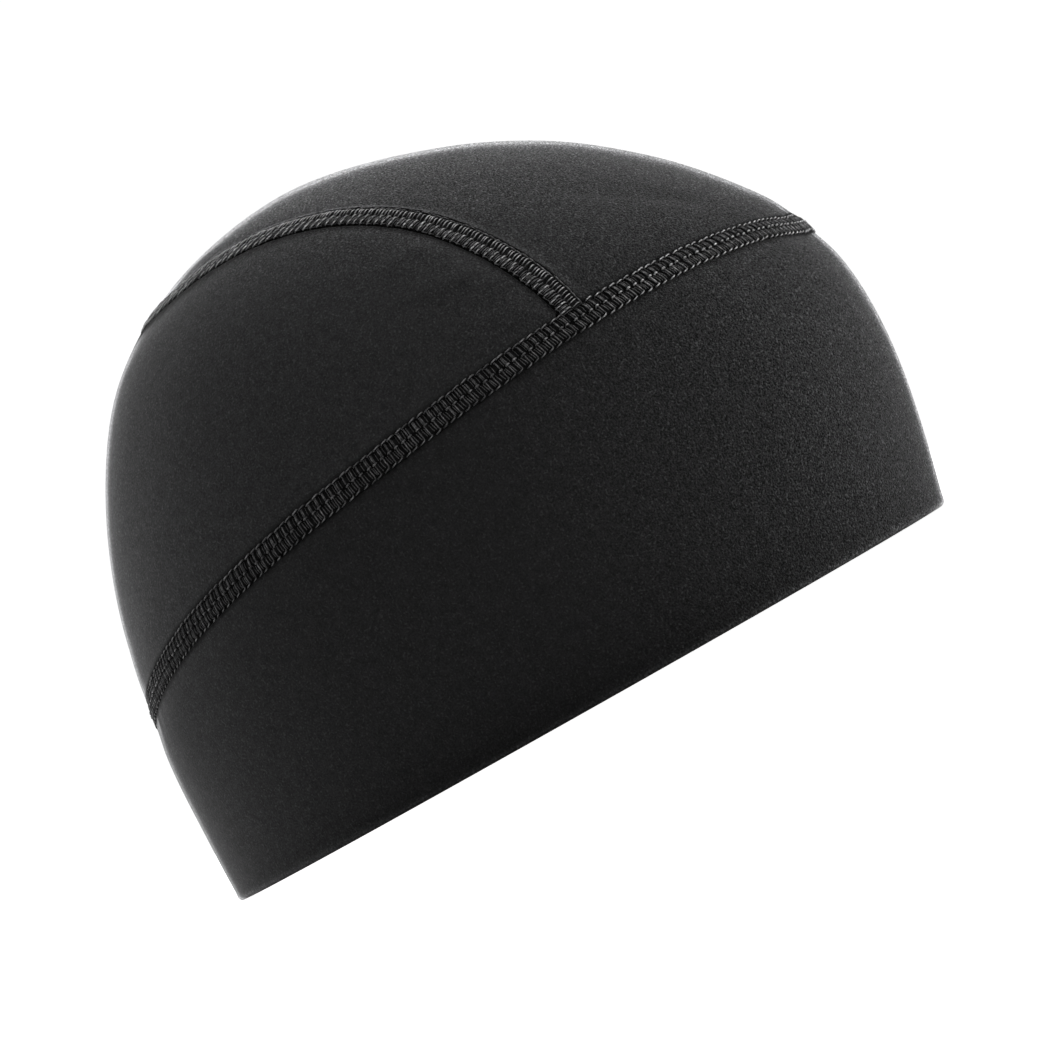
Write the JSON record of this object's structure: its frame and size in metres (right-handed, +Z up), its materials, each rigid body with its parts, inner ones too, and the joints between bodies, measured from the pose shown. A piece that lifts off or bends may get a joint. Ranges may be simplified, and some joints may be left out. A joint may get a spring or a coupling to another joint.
{
  "type": "softshell beanie",
  "caption": "Close-fitting softshell beanie: an ear band, a front-to-back crown panel and a horseshoe side panel joined by raised flatlock seams, open below.",
  "frame": {"origin": "centre of the hat's footprint, level with the rim that it rests on", "axes": "+Z up to the crown, forehead towards -Y, wearer's right side towards -X"},
  "size_m": [0.165, 0.2052, 0.143],
  "materials": {
    "softshell": "brushed bonded stretch cloth, matt charcoal with a soft pile",
    "seam_thread": "flatlock stitching in fine charcoal thread over the joined cloth edges"
  },
  "bodies": {
    "root": {"band": "softshell", "crown_top": "softshell", "crown_side": "softshell", "band_seam": "seam_thread", "crown_seam": "seam_thread"}
  },
  "joints": []
}
